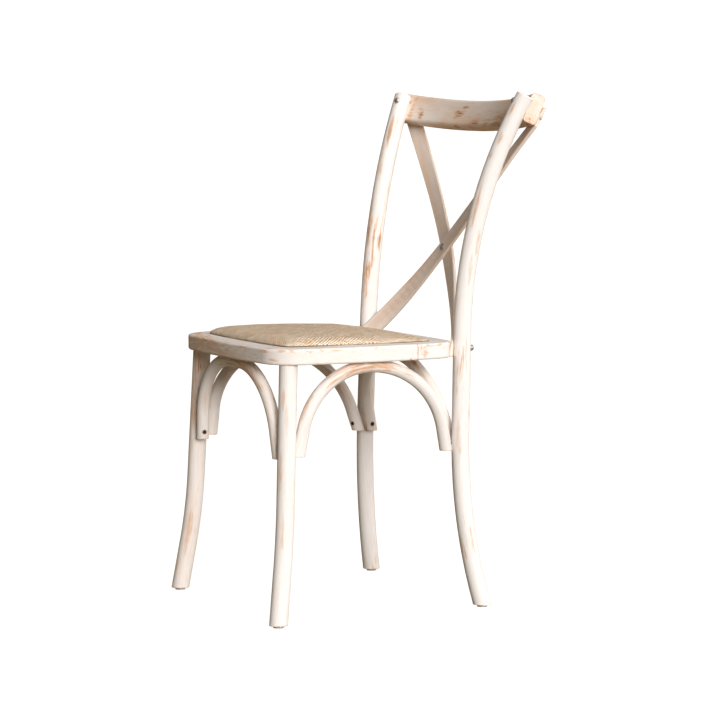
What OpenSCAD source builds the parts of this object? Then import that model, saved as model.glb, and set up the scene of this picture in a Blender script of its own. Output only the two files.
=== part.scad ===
// Cross-back dining chair in whitewashed bentwood with a woven rattan seat pad.
// +Z is up, the sitter faces -Y, and X runs from the sitter's right (-) to left (+).
// Heights are above the floor. Plan sizes are first laid out about the middle
// of the four feet, and set_back then centres the whole chair on the origin.

/* [Legs] */
// Diameter of the leg rods
leg_d = 31; // [27:0.5:35]
// Half distance between the front leg tops
front_leg_x = 169.5; // [160:0.5:176]
// Distance of the front leg tops in front of the middle of the feet
front_leg_y = 164.4; // [158:0.2:170]
// Lean of the straight upper part of the front legs, in degrees
front_lean = 3.2; // [2:0.1:4]
// Lean of the front legs at the floor, in degrees
front_splay = 10.5; // [8:0.1:13]
// Height at which the front legs start to curve outwards
front_bend_top = 210; // [190:5:230]
// Height at which the curve of the front legs ends
front_bend_bottom = 90; // [70:5:110]
// Plan direction of the front legs' splay, from +X towards -Y, in degrees
front_splay_dir = 51.5; // [40:0.5:60]
// Half distance between the rear legs at seat bolt height
rear_leg_x = 168.9; // [160:0.5:176]
// Distance of the rear legs behind the middle of the feet at seat bolt height
rear_leg_y = 169.8; // [164:0.2:180]
// Backward lean of the straight middle of the rear legs, in degrees
rear_lean = 1.6; // [0:0.1:3]
// Inward lean of the straight middle of the rear legs, in degrees
rear_tilt = 0.9; // [0:0.1:2]
// Bend radius of the rear legs below the seat
rear_lower_r = 1032; // [950:10:1200]
// Plan direction in which the rear legs splay below the seat, in degrees
rear_lower_dir = 56.4; // [45:0.5:65]
// Bend radius of the rear legs above the seat
rear_upper_r = 872; // [800:4:960]
// Plan direction in which the rear legs sweep back above the seat, in degrees
rear_upper_dir = 59.6; // [50:0.5:70]
// Bend angle of the rear legs above the seat, in degrees
rear_upper_a = 27.5; // [25:0.5:29]
// Height where the lower bend of the rear legs starts
rear_bend_low = 300; // [290:5:320]
// Height where the upper bend of the rear legs starts
rear_bend_high = 475; // [465:5:490]
// Rounding of the tops of the rear legs
leg_round = 3; // [1:0.5:5]
// Diameter of the tenon on top of each front leg
tenon_d = 20; // [16:1:22]
// Length of the tenons
tenon_len = 17; // [12:1:20]

/* [Glides] */
// Diameter of the foot glides
glide_d = 18; // [14:1:24]
// Thickness of the foot glides
glide_t = 4; // [3:0.5:6]
// Diameter of the glide nails
glide_nail_d = 4; // [3:0.5:5]
// Length of the glide nails
glide_nail_len = 16; // [10:1:24]

/* [Seat ring] */
// Height of the underside of the seat ring
seat_h = 434; // [424:1:444]
// Thickness of the seat ring
ring_t = 27; // [24:1:30]
// Width of the seat ring
ring_w = 46; // [42:1:48]
// Rounding of the outer edges of the seat ring
ring_edge = 4; // [2:0.5:6]
// Distance of the front edge in front of the middle of the feet
ring_front = 206; // [202:1:212]
// Distance of the rear edge behind the middle of the feet
ring_rear = 150; // [147:0.5:153]
// Largest half width of the seat ring
ring_half_w = 210; // [206:1:214]
// Where the seat ring is widest, in front (-) or behind (+) the middle
ring_wide_y = 24; // [10:1:30]
// Radius of the front edge in plan
ring_front_r = 1600; // [1200:20:2000]
// Radius of the side edges in plan
ring_side_r = 1060; // [900:20:1200]
// Radius of the rear edge in plan
ring_rear_r = 4300; // [3500:100:6000]
// Radius of the front corners
ring_front_corner = 59; // [54:1:64]
// Radius of the rear corners
ring_rear_corner = 48; // [47:1:54]
// Where the front hoop and the rear rail meet, behind the middle of the feet
ring_joint_y = 60; // [50:1:70]
// Width of the rebate that holds the seat board
rebate_w = 8; // [6:0.5:10]
// Depth of the rebate
rebate_d = 9; // [8:0.5:12]
// Diameter of the dowels in the ring joints
ring_dowel_d = 10; // [8:1:12]
// Length of the dowels
ring_dowel_len = 50; // [40:2:60]

/* [Seat pad] */
// Thickness of the seat board
board_t = 8; // [6:0.5:9]
// Thickness of the woven rattan cover
rattan_t = 1.6; // [1.2:0.1:2.4]
// Height of the rolled edge above the ring
pad_roll_h = 7; // [5:0.5:10]
// Rise of the crown above the rolled edge
pad_crown_h = 11; // [6:1:18]
// Gap between the pad and the rebate wall
pad_gap = 0.6; // [0.3:0.1:1.5]

/* [Crest rail] */
// Thickness of the crest rail
rail_t = 25; // [20:0.5:28]
// Height of the crest rail, measured along its face
rail_h = 53; // [46:1:60]
// Rounding of the crest rail's long edges
rail_round = 7; // [5:0.5:10]
// Lean of the crest rail, in degrees
rail_lean = 24; // [20:0.5:28]
// Bow radius of the crest rail
rail_r = 790; // [700:10:900]
// Half length of the crest rail, measured straight across
rail_half = 223; // [220:1:226]
// Height of the middle of the crest rail
rail_z = 842; // [836:1:850]
// Depth to which the rear legs are notched for the crest rail
rail_seat = 5; // [3:0.5:7]
// Distance of the crest bolts below the tops of the rear legs
bolt_below_top = 9; // [7:0.5:12]
// Backward slope of the crest bolts, in degrees
bolt_slope = 7.5; // [5:0.5:12]
// Distance of the crest bolts inside the middles of the rear legs
bolt_in = 7; // [4:0.5:8]

/* [Back slats] */
// Width of the crossed slats
slat_w = 30; // [27:1:34]
// Thickness of the crossed slats
slat_t = 6; // [5:0.5:7]
// Height at which the slats cross
cross_z = 609; // [600:1:618]
// Distance of the crossing behind the middle of the feet
cross_y = 234.5; // [232:0.5:237]
// Angle at which the slats meet the rear legs in plan, in degrees
slat_foot_a = 33; // [30:0.5:36]
// Half distance between the slat middles at seat bolt height
slat_foot_x = 153.5; // [152:0.5:155]
// Depth to which the slats are let into the rear legs
slat_in = 1.5; // [0.5:0.5:2.5]
// Half distance between the slat middles on the crest rail
slat_head_x = 218; // [214:1:220]
// Height of the slat middles on the crest rail, above (+) or below (-) its middle
slat_head_v = -12; // [-16:1:-8]
// Height of the upper ends of the slats
slat_top = 857; // [850:1:860]
// Bevel of the slats' edges
slat_edge = 1.2; // [0.6:0.2:2]
// Gap between the slats where they cross
cross_gap = 0.5; // [0.3:0.1:1]

/* [Arches] */
// Diameter of the bent rods under the seat
arch_d = 22; // [20:0.5:23]
// Depth of the flat planed on top of each arch
arch_flat = 3; // [1:0.5:5]
// Depth to which the arches are let into the legs
arch_in = 2; // [1:0.5:3]
// Height of the lower ends of the front arch
front_arch_z = 275; // [270:1:280]
// Height of the front ends of the side arches
side_arch_z = 279; // [274:1:284]
// Height of the arch ends at the rear legs
rear_arch_z = 270; // [265:1:275]
// Inward lean of the front arch's sides, in degrees
front_lean_in = 9; // [6:0.5:12]
// Inward lean of the rear arch's sides, in degrees
rear_lean_in = 9; // [6:0.5:12]
// Inward lean of the side arches' front sides, in degrees
side_front_lean = 9; // [5:0.5:12]
// Inward lean of the side arches' rear sides, in degrees
side_rear_lean = 15; // [10:0.5:18]
// Distance of the arches' crowns in from the ring's outer edge
crown_in = 25; // [23:0.5:27]
// Bend radius of the front and rear arches
arch_r = 126; // [110:1:130]
// Front bend radius of the side arches
side_front_r = 120; // [100:1:124]
// Rear bend radius of the side arches
side_rear_r = 160; // [120:1:164]

/* [Fasteners] */
// Diameter of the domed bolt heads and nuts on the crest rail
bolt_head_d = 11; // [9:0.5:13]
// Diameter of the bolts
bolt_d = 6; // [5:0.5:7]
// Dome height of the bolt heads and nuts
bolt_dome = 4; // [3:0.5:5]
// Diameter of the barrel nuts of the seat bolts
barrel_d = 10; // [8:1:12]
// Diameter of the heads of the arch screws
arch_head_d = 7; // [6:0.5:8]
// Diameter of the arch screws
arch_screw_d = 4; // [3:0.5:5]
// Diameter of the heads of the small screws
small_head_d = 6; // [5:0.5:7]
// Diameter of the small screws
small_screw_d = 3; // [2.5:0.5:4]
// Diameter of the washer at the slat crossing
washer_d = 12; // [10:0.5:14]
// Thickness of that washer
washer_t = 1.2; // [0.8:0.2:2]

/* [Fits] */
// Clearance between a pin or screw and its hole, all round
fit = 0.15; // [0.1:0.05:0.3]
// Gap where an arch or slat lies against a leg or rail
seat_gap = 0.25; // [0.2:0.05:0.4]
// Gap between the seat board and the foam
foam_gap = 0.1; // [0.05:0.05:0.2]
// Gap under the washer at the slat crossing
washer_gap = 0.1; // [0.05:0.05:0.2]
// Gap between a slat's foot and the seat ring
foot_gap = 0.5; // [0.3:0.1:1]

/* [Hidden] */
$fn = 64;
wood = [0.86, 0.79, 0.73];
steel = [0.6, 0.6, 0.58];
leg_r = leg_d/2;
arch_rr = arch_d/2;
ring_top = seat_h + ring_t;
big = 400;
fine = 360;
round_fn = 48;
// Where a straight stretch runs into a bend it laps over it by lap, and the bend is slimmer by slim
lap = 0.5;
slim = 0.1;

// Vector helpers
function unit(v) = v/norm(v);
function mix(a, b, t) = a + (b - a)*t;
// A right-handed frame at o with its z along d and its x as near to u as it can be
function side_axis(d, u) = unit(u - (u*d)*d);
function frame(o, d, u) =
    let (z = unit(d), x = side_axis(z, u), y = cross(z, x))
    [[x.x, y.x, z.x, o.x], [x.y, y.y, z.y, o.y], [x.z, y.z, z.z, o.z], [0, 0, 0, 1]];

// Front leg: a straight rod from the seat, one outward bend, a straight foot
front_dir = [cos(front_splay_dir), -sin(front_splay_dir), 0];
front_bend_r = (front_bend_top - front_bend_bottom)/(sin(front_splay) - sin(front_lean));
front_top = [front_leg_x, -front_leg_y, seat_h];
front_down = sin(front_lean)*front_dir - [0, 0, cos(front_lean)];
front_straight = (seat_h - front_bend_top)/cos(front_lean);
function front_axis(z) = front_top + front_down*(seat_h - z)/cos(front_lean);
front_foot_out = (seat_h - front_bend_top)*tan(front_lean)
    + front_bend_r*(cos(front_lean) - cos(front_splay)) + front_bend_bottom*tan(front_splay);

// Rear leg: straight through the seat joint, bent outwards below and backwards above
rear_up = [-sin(rear_tilt), sin(rear_lean)*cos(rear_tilt), cos(rear_lean)*cos(rear_tilt)];
bolt_z = seat_h + ring_t/2;
rear_mid = [rear_leg_x, rear_leg_y, bolt_z];
function rear_axis(z) = rear_mid + rear_up*(z - bolt_z)/rear_up.z;
rear_low_o = rear_axis(rear_bend_low);
rear_high_o = rear_axis(rear_bend_high);
rear_low_dir = side_axis(rear_up, [cos(rear_lower_dir), sin(rear_lower_dir), 0]);
rear_high_dir = side_axis(rear_up, [cos(rear_upper_dir), sin(rear_upper_dir), 0]);
rear_lower_a = asin(min(0.5, (rear_bend_low + 20)/rear_lower_r));
function rear_post(a) = rear_high_o + rear_upper_r*((1 - cos(a))*rear_high_dir + sin(a)*rear_up);
function rear_foot(a) = rear_low_o + rear_lower_r*((1 - cos(a))*rear_low_dir - sin(a)*rear_up);

// Crest rail: bowed in a leaning plane and let into the backs of the rear legs
bolt_a = rear_upper_a - asin(bolt_below_top/rear_upper_r);
post_at = rear_post(bolt_a);
bolt_at = post_at - [bolt_in, 0, 0];
bolt_dir = [0, cos(bolt_slope), -sin(bolt_slope)];
rail_n = [0, cos(rail_lean), -sin(rail_lean)];
rail_v = [0, sin(rail_lean), cos(rail_lean)];
rail_bolt_a = asin(post_at.x/rail_r);
rail_end_a = asin(rail_half/rail_r);
function rail_out(a) = cos(a)*rail_n + [sin(a), 0, 0];
// Place on the rail: a is the angle along the bow, v up the face, t through it
function rail_rel(a, v, t) =
    [0, 0, rail_z] + rail_r*([sin(a), 0, 0] - (1 - cos(a))*rail_n) + v*rail_v + t*rail_out(a);
rail_bolt_out = rail_out(rail_bolt_a);
rail_y = (leg_r - rail_seat - (rail_rel(rail_bolt_a, 0, -rail_t/2) - post_at)*rail_bolt_out)
    /rail_bolt_out.y;
function rail_at(a, v, t) = [0, rail_y, 0] + rail_rel(a, v, t);
// How far along the bolt the back face of the rail lies, and how it slants there
bolt_out = rail_out(asin(bolt_at.x/rail_r));
bolt_to_back = (rail_at(asin(bolt_at.x/rail_r), 0, rail_t/2) - bolt_at)*bolt_out/(bolt_dir*bolt_out);
nut_sink = bolt_head_d/2*tan(acos(bolt_dir*bolt_out));
head_at = sqrt(leg_r*leg_r - bolt_in*bolt_in) - 2;
head_rim = 1.5;

// Slats: each runs from the back of the crest rail, twisting, to the front of a rear leg.
// A slat is followed by its x: its foot is at -X and its head at +X.
foot_n = [-sin(slat_foot_a), cos(slat_foot_a), -tan(rear_lean)];
foot_off = leg_r - slat_in + slat_t/2;
foot_y = rear_mid.y - (foot_off - (rear_mid.x - slat_foot_x)*sin(slat_foot_a))/cos(slat_foot_a);
slat_head_z = rail_at(asin(slat_head_x/rail_r), slat_head_v, rail_t/2).z;
// Newton's form of a curve through foot, crossing and head
foot_zs = (cross_z - bolt_z)/slat_foot_x;
head_zs = (slat_head_z - cross_z)/slat_head_x;
slat_zc = (head_zs - foot_zs)/(slat_head_x + slat_foot_x);
function slat_z(x) = bolt_z + (x + slat_foot_x)*(foot_zs + slat_zc*x);
foot_slope = tan(slat_foot_a) + tan(rear_lean)/cos(slat_foot_a)*(foot_zs - slat_zc*slat_foot_x);
function back_y(x, z) =
    let (a = asin(x/rail_r), o = rail_out(a))
    (rail_t/2 + seat_gap + slat_t/2 - ([x, 0, z] - rail_at(a, 0, 0))*o)/o.y;
head_y = back_y(slat_head_x, slat_head_z);
function slat_y(x, off) =
    let (c1 = (cross_y + off - foot_y)/slat_foot_x, c2 = (head_y - cross_y - off)/slat_head_x,
         d1 = (c1 - foot_slope)/slat_foot_x, d2 = (c2 - c1)/(slat_head_x + slat_foot_x),
         d3 = (d2 - d1)/(slat_head_x + slat_foot_x), u = x + slat_foot_x)
    foot_y + u*foot_slope + u*u*d1 + u*u*x*d3;
function slat_p(x, off) = [x, slat_y(x, off), slat_z(x)];
function ease(s) = let (t = min(1, max(0, s))) t*t*(3 - 2*t);
cross_lean = atan((slat_y(1, 0) - slat_y(-1, 0))/(slat_z(1) - slat_z(-1)));
cross_n = [0, cos(cross_lean), -sin(cross_lean)];
head_n = rail_out(asin(slat_head_x/rail_r));
function slat_n(x) = x < 0 ? mix(cross_n, foot_n, ease(-x/slat_foot_x))
    : mix(cross_n, head_n, ease(x/slat_head_x));
slat_half = let (w = slat_w/2, t = slat_t/2, c = slat_edge)
    [[w - c, -t], [w, c - t], [w, t - c], [w - c, t]];
slat_section = concat(slat_half, [for (q = slat_half) -q]);
function slat_frame(x, off) =
    let (d = unit(slat_p(x + 0.5, off) - slat_p(x - 0.5, off)), n = side_axis(d, slat_n(x)))
    [slat_p(x, off), d, n, cross(n, d)];
function slat_ring(x, off) =
    let (f = slat_frame(x, off)) [for (q = slat_section) f[0] + q.x*f[3] + q.y*f[2]];
// Closed skin over m rings of k points each, with flat ends
function skin_faces(m, k) = concat(
    [[for (j = [0:k - 1]) j]], [[for (j = [0:k - 1]) m*k - 1 - j]],
    [for (i = [0:m - 2], j = [0:k - 1]) [i*k + j, (i + 1)*k + (j + 1)%k, i*k + (j + 1)%k]],
    [for (i = [0:m - 2], j = [0:k - 1]) [i*k + j, (i + 1)*k + j, (i + 1)*k + (j + 1)%k]]);
cross_off = (slat_t + cross_gap)/2/cos(cross_lean);
slat_from = -slat_foot_x - slat_w;
slat_to = rail_half + slat_w/2;
slat_steps = 40;

// Seat ring in plan: five arcs from the middle of the front round to the rear
front_c = [0, ring_front_r - ring_front];
side_c = [ring_half_w - ring_side_r, ring_wide_y];
rear_c = [0, ring_rear - ring_rear_r];
// Where circles of radius r1 about c1 and r2 about c2 meet, on the +X side
function meet(c1, r1, c2, r2) =
    let (d = norm(c2 - c1), e = (c2 - c1)/d, a = (r1*r1 - r2*r2 + d*d)/(2*d))
    c1 + a*e + sqrt(r1*r1 - a*a)*[-e.y, e.x];
front_corner_c = meet(front_c, ring_front_r - ring_front_corner,
                      side_c, ring_side_r - ring_front_corner);
rear_corner_c = meet(side_c, ring_side_r - ring_rear_corner,
                     rear_c, ring_rear_r - ring_rear_corner);
function heading(v) = atan2(v.y, v.x);
a_front = heading(front_corner_c - front_c);
a_side = heading(front_corner_c - side_c);
a_joint = asin((ring_joint_y - ring_wide_y)/ring_side_r);
a_rear_side = heading(rear_corner_c - side_c);
a_rear = heading(rear_corner_c - rear_c);
function polar(r, a) = r*[cos(a), sin(a)];
function arc_points(c, r, a, b, n) = [for (k = [0:n - 1]) c + polar(r, a + (b - a)*k/n)];
function half_outline(i) = concat(
    arc_points(front_c, ring_front_r - i, -90, a_front, 7),
    arc_points(front_corner_c, ring_front_corner - i, a_front, a_side, 5),
    arc_points(side_c, ring_side_r - i, a_side, a_rear_side, 8),
    arc_points(rear_corner_c, ring_rear_corner - i, a_rear_side, a_rear, 5),
    arc_points(rear_c, ring_rear_r - i, a_rear, 90, 5),
    [rear_c + polar(ring_rear_r - i, 90)]);
// Whole outline of the ring, drawn in by i all round
function outline(i) = let (h = half_outline(i), n = len(h))
    concat(h, [for (k = [n - 2:-1:1]) [-h[k].x, h[k].y]]);

// Seat pad: board, foam and cover share the outline of the rebate
rebate_in = ring_w - rebate_w;
rebate_floor = ring_top - rebate_d;
cover_in = rebate_in + pad_gap;
foam_in = cover_in + rattan_t;
pad_c = [0, (ring_rear - ring_front)/2];
roll_from = 0.94;
// Height of the pad at the share s of the way from its middle to its edge
function pad_z(s) = let (e = max(0, (s - roll_from)/(1 - roll_from)))
    pad_roll_h*sqrt(1 - e*e) + pad_crown_h*pow(1 - s*s, 1.2);
// The pad's contours grow rounder towards its middle
function pad_ring(i, s, z) =
    let (a = ring_half_w - i, b = (ring_front + ring_rear)/2 - i)
    [for (p = outline(i)) let (q = p - pad_c, e = q/norm([q.x/a, q.y/b]), m = pad_c + s*mix(e, q, s*s))
        [m.x, m.y, z]];
function pad_mid(z) = [[pad_c.x, pad_c.y, z]];
cover_rings = [1, 0.997, 0.985, 0.965, 0.94, 0.88, 0.77, 0.62, 0.45, 0.25];
foam_rings = [1, 0.985, 0.95, 0.88, 0.7, 0.4];
// A run of closed rings of k points between two single end points
function dome_faces(m, k) = let (last = m*k + 1) concat(
    [for (j = [0:k - 1]) [0, 1 + (j + 1)%k, 1 + j]],
    [for (i = [0:m - 2], j = [0:k - 1]) [1 + i*k + j, 1 + i*k + (j + 1)%k, 1 + (i + 1)*k + j]],
    [for (i = [0:m - 2], j = [0:k - 1])
        [1 + i*k + (j + 1)%k, 1 + (i + 1)*k + (j + 1)%k, 1 + (i + 1)*k + j]],
    [for (j = [0:k - 1]) [last, last - k + j, last - k + (j + 1)%k]]);

// Arches: end, corner, corner, end of each bent rod
crown_z = seat_h - arch_rr + arch_flat;
arch_off = leg_r + arch_rr - arch_in;
function level(x, y) = unit([x, y, 0]);
side_p0 = front_axis(side_arch_z) + arch_off*level(-0.15, 1);
side_p3 = rear_axis(rear_arch_z) + arch_off*level(-0.6, -1);
side_crown_x = ring_half_w - crown_in;
side_points = [side_p0,
    [side_crown_x, side_p0.y + (crown_z - side_arch_z)*tan(side_front_lean), crown_z],
    [side_crown_x, side_p3.y - (crown_z - rear_arch_z)*tan(side_rear_lean), crown_z], side_p3];
function across(p, y, lean) = let (x = p.x - (crown_z - p.z)*tan(lean))
    [p, [x, y, crown_z], [-x, y, crown_z], [-p.x, p.y, p.z]];
front_points = across(front_axis(front_arch_z) + arch_off*level(-1, -0.08),
                      crown_in - ring_front, front_lean_in);
rear_points = across(rear_axis(rear_arch_z) + arch_off*level(-1, 0),
                     ring_rear - crown_in, rear_lean_in);
function tangent(a, b, r) = r*tan(acos(a*b)/2);
// Middle of the straight crown of an arch
function crown_mid(p, r1, r2) =
    let (a = unit(p[1] - p[0]), b = unit(p[2] - p[1]), c = unit(p[3] - p[2]))
    (p[1] + b*tangent(a, b, r1) + p[2] - b*tangent(b, c, r2))/2;
screw_up = 13;
// Screw through an arch's side into a leg: where it starts, and its direction
function side_screw(p, front) =
    let (d = unit(p[1] - p[0]), a = p[0] + d*screw_up/d.z, l = (front ? front_axis(a.z) : rear_axis(a.z)) - a)
    [a, unit([l.x, l.y, 0])];
side_back = [for (k = [3:-1:0]) side_points[k]];
leg_screws = [side_screw(side_points, true), side_screw(side_back, false),
              side_screw(front_points, true), side_screw(rear_points, false)];
crown_screw_in = 18;
side_mid = crown_mid(side_points, side_front_r, side_rear_r);
side_marks = [for (s = [-1, 1]) side_mid + [0, s*crown_screw_in, 0]];
front_marks = [for (s = [-1, 1]) [s*crown_screw_in, crown_in - ring_front, crown_z]];
rear_marks = [for (s = [-1, 1]) [s*crown_screw_in, ring_rear - crown_in, crown_z]];
crown_screw_up = 15;
arch_head_t = 2.5;
arch_screw_in = 10;

// Everything is laid out about the middle of the feet, then centred front to back
foot_reach = norm([leg_r/cos(front_splay)*front_dir.y, leg_r*front_dir.x]);
front_most = front_leg_y - front_dir.y*(front_foot_out - glide_t*tan(front_splay)) + foot_reach;
rear_most = rail_y + (rail_h/2 - rail_round)*rail_v.y + (rail_t/2 - rail_round)*rail_n.y + rail_round;
set_back = (rear_most - front_most)/2;
module place() {
    translate([0, -set_back, 0]) children();
}
module left() {
    place() children();
}
module right() {
    place() mirror([1, 0, 0]) children();
}
module pair() {
    left() children();
    right() children();
}

// A straight rod from a to b; u fixes how it is turned
module rod(a, b, r, u) {
    multmatrix(frame(a, b - a, u)) cylinder(h = norm(b - a), r = r, $fn = round_fn);
}
module pin(a, b, d) {
    rod(a, b, d/2, [0.31, 0.57, 0.76]);
}
// A bend of radius bend_r that starts at the frame's origin along z and turns to +x
module bend(bend_r, a, r) {
    translate([bend_r, 0, 0]) rotate([90, 0, 180]) rotate_extrude(angle = a, $fn = fine)
        translate([bend_r, 0]) circle(r - slim, $fn = round_fn);
}
module corner(p, a, b, bend_r, r) {
    multmatrix(frame(p - a*tangent(a, b, bend_r), a, b)) bend(bend_r, acos(a*b), r);
}
module arch(p, r1, r2) {
    a = unit(p[1] - p[0]);
    b = unit(p[2] - p[1]);
    c = unit(p[3] - p[2]);
    t1 = tangent(a, b, r1);
    t2 = tangent(b, c, r2);
    difference() {
        union() {
            rod(p[0] - a*arch_rr, p[1] - a*(t1 - lap), arch_rr, b);
            corner(p[1], a, b, r1, arch_rr);
            rod(p[1] + b*(t1 - lap), p[2] - b*(t2 - lap), arch_rr, -a);
            corner(p[2], b, c, r2, arch_rr);
            rod(p[2] + c*(t2 - lap), p[3] + c*arch_rr, arch_rr, -b);
        }
        translate([-big, -big, seat_h]) cube(2*big);
        for (q = [p[0], p[3]]) translate(q - [2, 2, 4]*arch_d) cube(4*arch_d);
    }
}
// Notch in a leg for the end of an arch that starts along p[0] to p[1]
module arch_notch(p) {
    a = unit(p[1] - p[0]);
    difference() {
        rod(p[0] - a*arch_rr, p[0] + a*3*arch_d, arch_rr + seat_gap, [0.31, 0.57, 0]);
        translate(p[0] - [2, 2, 4]*arch_d - [0, 0, seat_gap]) cube(4*arch_d);
    }
}
// Half outline of a domed head: its rim reaches down by base below the dome
module dome_outline(d, h, base) {
    ball = (d*d/4 + h*h)/(2*h);
    intersection() {
        translate([0, h - ball]) circle(ball);
        translate([0, -slim]) square([d/2, h + slim]);
    }
    translate([0, -base]) square([d/2, base]);
}
module screw_holes(marks, top) {
    for (m = marks) {
        translate([m.x, m.y, m.z - 2*arch_rr]) cylinder(h = top, d = arch_screw_d + 2*fit);
        translate([m.x, m.y, crown_z - 2*arch_rr])
            cylinder(h = arch_rr + arch_head_t + 1, d = arch_head_d + 2*fit);
    }
}
module side_screw_hole(s) {
    pin(s[0] - s[1]*2*arch_rr, s[0] + s[1]*2*arch_rr, arch_screw_d + 2*fit);
    pin(s[0] - s[1]*2*arch_rr, s[0] - s[1]*(arch_rr - arch_head_t - 1), arch_head_d + 2*fit);
}
module side_screw_pilot(s) {
    pin(s[0], s[0] + s[1]*(arch_rr + arch_screw_in + 1), arch_screw_d + 2*fit);
}

module leg_end() {
    rotate_extrude() {
        translate([0, -lap]) square([leg_r - leg_round, leg_round + lap]);
        intersection() {
            translate([leg_r - leg_round, 0]) circle(leg_round);
            square([leg_r, leg_round]);
        }
        translate([0, -lap]) square([leg_r, lap + 0.001]);
    }
}
module below_glide() {
    translate([-big, -big, glide_t - big]) cube([2*big, 2*big, big]);
}
function front_glide() = let (o = front_foot_out - glide_t*tan(front_splay))
    [front_leg_x + o*front_dir.x, o*front_dir.y - front_leg_y, glide_t];
// The bend angle at which a rear leg's axis comes down to height z
function rear_foot_a(z) =
    let (p = rear_lower_r*rear_low_dir.z, q = rear_lower_r*rear_up.z)
    asin((p + rear_low_o.z - z)/norm([p, q])) - atan2(p, q);
function rear_glide() = rear_foot(rear_foot_a(glide_t));
module nail_hole(p) {
    translate([p.x, p.y, 0]) cylinder(h = glide_t + glide_nail_len + 1, d = glide_nail_d + 2*fit);
}

module front_leg() {
    difference() {
        union() {
            difference() {
                multmatrix(frame(front_top, front_down, front_dir)) {
                    translate([0, 0, -2]) rotate([0, 0, 90])
                        cylinder(h = front_straight + 2 + lap, r = leg_r);
                    translate([0, 0, front_straight]) {
                        bend(front_bend_r, front_splay - front_lean, leg_r);
                        translate([front_bend_r*(1 - cos(front_splay - front_lean)), 0,
                                   front_bend_r*sin(front_splay - front_lean)])
                            rotate([0, front_splay - front_lean, 0]) translate([0, 0, -lap])
                            rotate([0, 0, 90])
                            cylinder(h = front_bend_bottom/cos(front_splay) + leg_r, r = leg_r);
                    }
                }
                translate([0, -big, seat_h]) cube(big);
            }
            multmatrix(frame(front_top, front_down, front_dir)) translate([0, 0, -tenon_len])
                rotate([0, 0, 90]) cylinder(h = tenon_len + 5, d = tenon_d);
        }
        below_glide();
        nail_hole(front_glide());
        side_screw_pilot(leg_screws[0]);
        side_screw_pilot(leg_screws[2]);
        arch_notch(side_points);
        arch_notch(front_points);
    }
}

module rear_leg() {
    difference() {
        union() {
            rod(rear_low_o - lap*rear_up, rear_high_o + lap*rear_up, leg_r, rear_high_dir);
            multmatrix(frame(rear_low_o, -rear_up, rear_low_dir)) bend(rear_lower_r, rear_lower_a, leg_r);
            multmatrix(frame(rear_high_o, rear_up, rear_high_dir)) {
                bend(rear_upper_r, rear_upper_a, leg_r);
                translate([rear_upper_r*(1 - cos(rear_upper_a)), 0, rear_upper_r*sin(rear_upper_a)])
                    rotate([0, rear_upper_a, 0]) leg_end();
            }
        }
        below_glide();
        nail_hole(rear_glide());
        rail_body();
        // Crest bolt and its countersunk head
        pin(bolt_at - bolt_dir*2*leg_r, bolt_at + bolt_dir*2*leg_r, bolt_d + 2*fit);
        pin(bolt_at - bolt_dir*2*leg_r, bolt_at - bolt_dir*head_at, bolt_head_d + 2*fit);
        // Seat bolt and its head
        seat_joint() {
            seat_bolt_hole();
            translate([0, 3*leg_r, 0]) rotate([90, 0, 0])
                cylinder(h = 3*leg_r - seat_head_at, d = bolt_head_d + 2*fit);
        }
        side_screw_pilot(leg_screws[1]);
        side_screw_pilot(leg_screws[3]);
        arch_notch(side_back);
        arch_notch(rear_points);
        mirror([1, 0, 0]) slat_notch();
    }
}

// Flat in a rear leg for the foot of a slat
module slat_notch() {
    f = slat_frame(-slat_foot_x, 0);
    intersection() {
        multmatrix(frame(f[0], f[2], f[1])) translate([-slat_w, -slat_w/2 - seat_gap, -leg_r])
            cube([3*slat_w, slat_w + 2*seat_gap, leg_r + slat_t/2 + 2*seat_gap]);
        translate([-big, 0, seat_h - foot_gap]) cube(big);
    }
}

// Frame of the seat joint: z up the leg, y from the ring out through the leg
module seat_joint() {
    multmatrix(frame(rear_mid, rear_up, [cos(slat_foot_a), -sin(slat_foot_a), 0])) children();
}
ring_flat = foot_off + slat_t/2 + foot_gap;
barrel_in = ring_flat + 18;
bolt_tip = barrel_in + barrel_d/2 + 2;
seat_head_at = leg_r - 1.5;
module seat_bolt_hole() {
    translate([0, 2*leg_r, 0]) rotate([90, 0, 0])
        cylinder(h = 2*leg_r + bolt_tip + 1, d = bolt_d + 2*fit);
}

module rail_body() {
    multmatrix(frame([0, rail_y, rail_z] - rail_r*rail_n, rail_v, rail_out(rail_end_a)))
        rotate_extrude(angle = 2*rail_end_a, $fn = fine) translate([rail_r, 0]) {
            square([rail_t - 2*rail_round, rail_h], center = true);
            square([rail_t, rail_h - 2*rail_round], center = true);
            for (x = [-1, 1], y = [-1, 1])
                translate([x*(rail_t/2 - rail_round), y*(rail_h/2 - rail_round)])
                    circle(rail_round, $fn = round_fn);
        }
}
module crest_bolt_hole() {
    pin(bolt_at, bolt_at + bolt_dir*(bolt_to_back + 10), bolt_d + 2*fit);
    pin(bolt_at + bolt_dir*(bolt_to_back - nut_sink), bolt_at + bolt_dir*(bolt_to_back + 20),
        bolt_head_d + 2*fit);
}
// Two screws hold each slat head: where they start on the slat's middle face
head_screws = [for (x = [-4, 2.5]) slat_head_x + x];
head_screw_up = 3;
function head_screw(x, off) = let (f = slat_frame(x, off)) f[0] + head_screw_up*f[3];
module head_screw_pins(off, from, to, d) {
    for (x = head_screws)
        pin(head_screw(x, off) + head_n*from, head_screw(x, off) + head_n*to, d);
}
slat_head_sink = 2;
head_screw_len = 14;

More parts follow.
